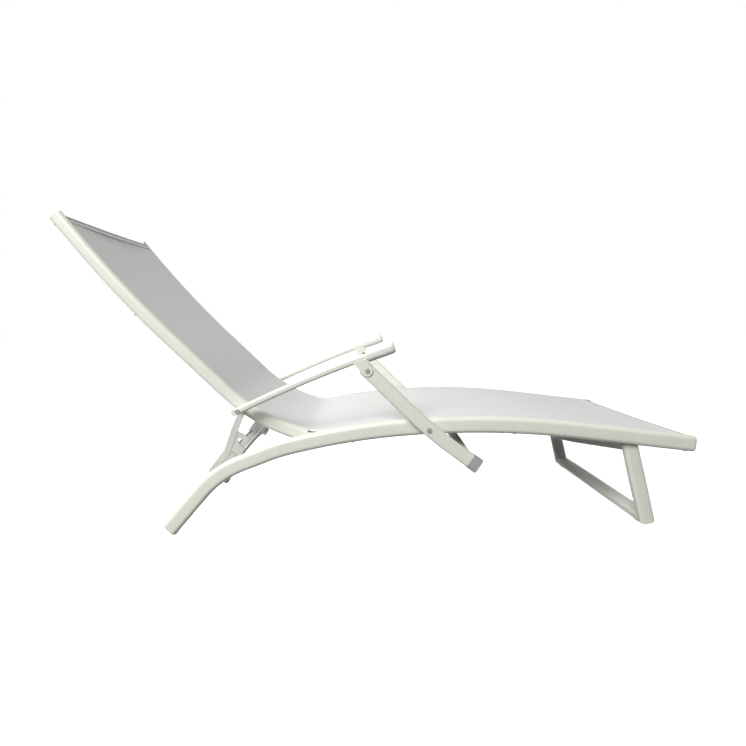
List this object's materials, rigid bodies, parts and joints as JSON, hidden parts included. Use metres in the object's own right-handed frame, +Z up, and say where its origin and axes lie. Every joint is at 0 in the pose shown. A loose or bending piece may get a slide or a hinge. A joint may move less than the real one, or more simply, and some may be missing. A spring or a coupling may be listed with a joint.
{
  "type": "sun lounger",
  "caption": "Sling sun lounger with a bent flat-oval tube frame, a reclining back held by a hooked rack, and armrests linked to the back and to pivoting posts",
  "frame": {"origin": "on the floor, under the middle of the overall box at rest", "axes": "+X towards the foot end, +Y towards the sitter's left, +Z up"},
  "size_m": [1.8676, 0.684, 0.9399],
  "materials": {
    "frame_paint": "smooth white powder coat",
    "spacer_plastic": "moulded, satin",
    "end_plastic": "moulded, satin",
    "grip_plastic": "moulded, satin",
    "grey_plastic": "moulded, matt",
    "rack_metal": "light grey powder coat",
    "rod_metal": "white powder coat over steel",
    "fastener": "plated",
    "sling_fabric": "woven coated polyester",
    "spline_plastic": "extruded, satin"
  },
  "bodies": {
    "base": {"base_rail_right": "frame_paint", "base_rail_left": "frame_paint", "rear_foot_right": "end_plastic", "rear_foot_left": "end_plastic", "rail_end_plug_right": "end_plastic", "rail_end_plug_left": "end_plastic", "foot_end_bar": "frame_paint", "seat_bar_rear": "frame_paint", "seat_bar_front": "frame_paint", "leg_frame": "frame_paint", "leg_glides": "grey_plastic", "leg_gusset_right": "frame_paint", "leg_gusset_left": "frame_paint", "catch_rod": "rod_metal", "catch_bracket_right": "frame_paint", "catch_bracket_left": "frame_paint", "hinge_pins": "fastener", "hinge_washers": "spacer_plastic", "post_bolt_right": "fastener", "post_bolt_left": "fastener", "post_spacers": "spacer_plastic", "frame_screws": "fastener", "seat_sling": "sling_fabric", "seat_splines": "spline_plastic"},
    "back": {"back_rail_right": "frame_paint", "back_rail_left": "frame_paint", "head_plug_right": "end_plastic", "head_plug_left": "end_plastic", "head_bar": "frame_paint", "back_bar": "frame_paint", "arm_bolt_right": "fastener", "arm_bolt_left": "fastener", "arm_spacers": "spacer_plastic", "rack_washers": "spacer_plastic", "back_screws": "fastener", "back_sling": "sling_fabric", "back_splines": "spline_plastic"},
    "rack": {"rack_right": "rack_metal", "rack_left": "rack_metal", "rack_tie_rod": "rod_metal"},
    "arm_right": {"arm_bar_right": "frame_paint", "arm_grip_right": "grip_plastic", "arm_clevis_right": "frame_paint", "arm_link_bolt_right": "fastener"},
    "arm_left": {"arm_bar_left": "frame_paint", "arm_grip_left": "grip_plastic", "arm_clevis_left": "frame_paint", "arm_link_bolt_left": "fastener"},
    "post_frame": {"post_right": "frame_paint", "post_left": "frame_paint", "post_cap_right": "grey_plastic", "post_cap_left": "grey_plastic", "post_cross_bar": "frame_paint"}
  },
  "joints": [
    {"name": "recline", "type": "hinge", "parent": "base", "child": "back", "pos_m": [-0.15474, 0, 0.25933], "axis": [0, -1, 0], "range_deg": [0, 31]},
    {"name": "rack_swing", "type": "hinge", "parent": "back", "child": "rack", "pos_m": [-0.37536, 0, 0.35624], "axis": [0, -1, 0], "range_deg": [-93.5, 0]},
    {"name": "arm_swing_right", "type": "hinge", "parent": "back", "child": "arm_right", "pos_m": [-0.37536, 0, 0.35624], "axis": [0, -1, 0], "range_deg": [-21.5, 0]},
    {"name": "arm_swing_left", "type": "hinge", "parent": "back", "child": "arm_left", "pos_m": [-0.37536, 0, 0.35624], "axis": [0, -1, 0], "range_deg": [-21.5, 0]},
    {"name": "post_swing", "type": "hinge", "parent": "base", "child": "post_frame", "pos_m": [0.16226, 0, 0.29539], "axis": [0, -1, 0], "range_deg": [0, 19.5]}
  ],
  "couplings": [
    {"joint": "rack_swing", "follows": "recline", "ratio": -3},
    {"joint": "arm_swing_right", "follows": "recline", "ratio": -0.676},
    {"joint": "arm_swing_left", "follows": "recline", "ratio": -0.676},
    {"joint": "post_swing", "follows": "recline", "ratio": 0.6173}
  ]
}
